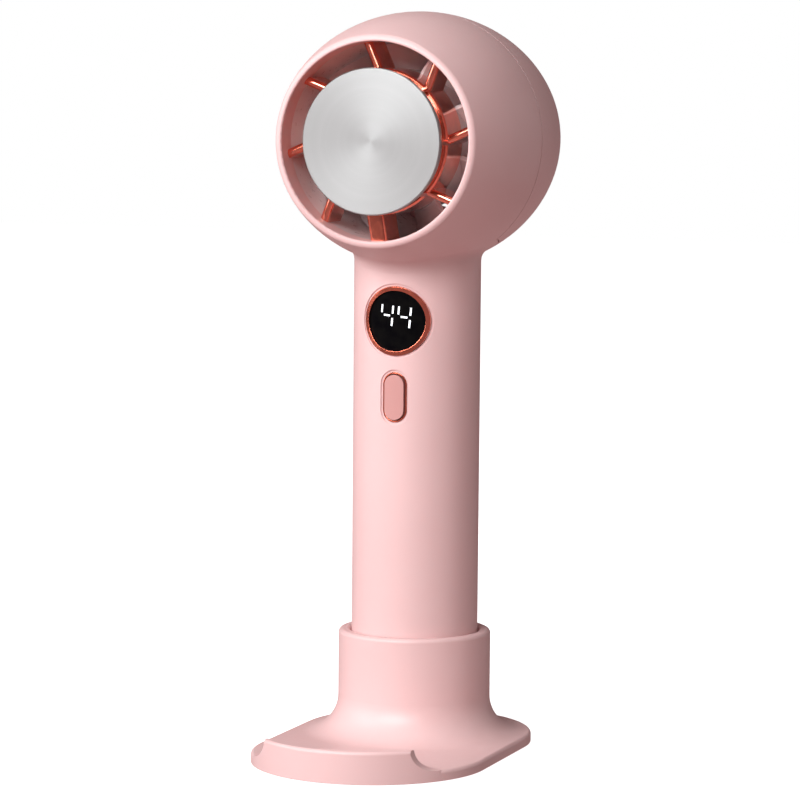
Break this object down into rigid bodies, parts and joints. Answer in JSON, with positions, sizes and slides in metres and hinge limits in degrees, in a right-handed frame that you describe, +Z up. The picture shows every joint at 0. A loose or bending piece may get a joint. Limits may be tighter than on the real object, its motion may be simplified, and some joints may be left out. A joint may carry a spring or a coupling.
{
  "type": "handheld electric fan",
  "caption": "Handheld electric fan with a ball head, guide vanes, central cold plate, lit display and push button, standing in a lift-off socket stand with a flared foot and phone lip.",
  "frame": {"origin": "centre of the handle's axis on the plane the stand rests on", "axes": "+Z up along the handle, -Y the way the air leaves, +X to the right seen from the front"},
  "size_m": [0.076, 0.1095, 0.2195],
  "materials": {
    "shell_pink": "satin moulded plastic, pale pink",
    "stand_pink": "satin moulded plastic, pale pink",
    "duct_pink": "gloss moulded plastic, pale pink",
    "impeller_pink": "gloss moulded plastic, pale pink",
    "button_pink": "gloss moulded plastic, salmon pink",
    "rose_gold": "plated rose gold",
    "spun_aluminium": "spun face, clear anodised",
    "plain_aluminium": "extruded",
    "ceramic_white": "sintered alumina",
    "black_gloss": "polished black window",
    "digit_light": "lit segment",
    "dark_plastic": "moulded black plastic",
    "grey_plastic": "moulded grey plastic",
    "board_green": "glass-epoxy circuit board",
    "core_steel": "laminated electrical steel",
    "bright_steel": "ground bearing steel",
    "zinc_steel": "zinc-plated steel",
    "nickel": "nickel strip",
    "winding_copper": "enamelled copper wire",
    "magnet_black": "bonded magnet",
    "lead_wire": "insulated wire",
    "cell_wrap": "heat-shrunk sleeve",
    "pad_rubber": "soft anti-slip sheet"
  },
  "bodies": {
    "stand": {"stand": "stand_pink", "foot_pad": "pad_rubber"},
    "fan": {"front_housing": "shell_pink", "rear_housing": "shell_pink", "bottom_cap": "shell_pink", "air_duct": "duct_pink", "rear_grille": "shell_pink", "guide_vanes": "rose_gold", "cold_plate": "spun_aluminium", "cooling_chip": "ceramic_white", "heat_sink": "plain_aluminium", "motor_frame": "dark_plastic", "motor_core": "core_steel", "motor_windings": "winding_copper", "bearing_outer_rings": "bright_steel", "bearing_balls": "bright_steel", "motor_leads": "lead_wire", "display_bezel": "rose_gold", "display_lens": "black_gloss", "display_digits": "digit_light", "display_module": "dark_plastic", "button_bezel": "rose_gold", "main_board": "board_green", "board_screws": "zinc_steel", "board_parts": "dark_plastic", "tact_switch": "dark_plastic", "battery_cell": "cell_wrap", "battery_tabs": "nickel", "battery_cradle": "grey_plastic", "usb_c_port": "zinc_steel", "port_tongue": "dark_plastic", "charge_board": "board_green"},
    "rotor": {"impeller": "impeller_pink", "rotor_yoke": "zinc_steel", "magnet_ring": "magnet_black", "motor_shaft": "bright_steel", "bearing_inner_rings": "bright_steel", "shaft_clip": "bright_steel"},
    "button": {"power_button": "button_pink"}
  },
  "joints": [
    {"name": "stand_slide", "type": "slide", "parent": "stand", "child": "fan", "axis": [0, 0, 1], "range_m": [0, 0.032]},
    {"name": "rotor_spin", "type": "hinge", "parent": "fan", "child": "rotor", "pos_m": [0, -0.012, 0.1815], "axis": [0, 1, 0], "continuous": true},
    {"name": "button_press", "type": "slide", "parent": "fan", "child": "button", "axis": [0, 1, 0], "range_m": [0, 0.0004], "stiffness_N_per_m": 2000}
  ]
}
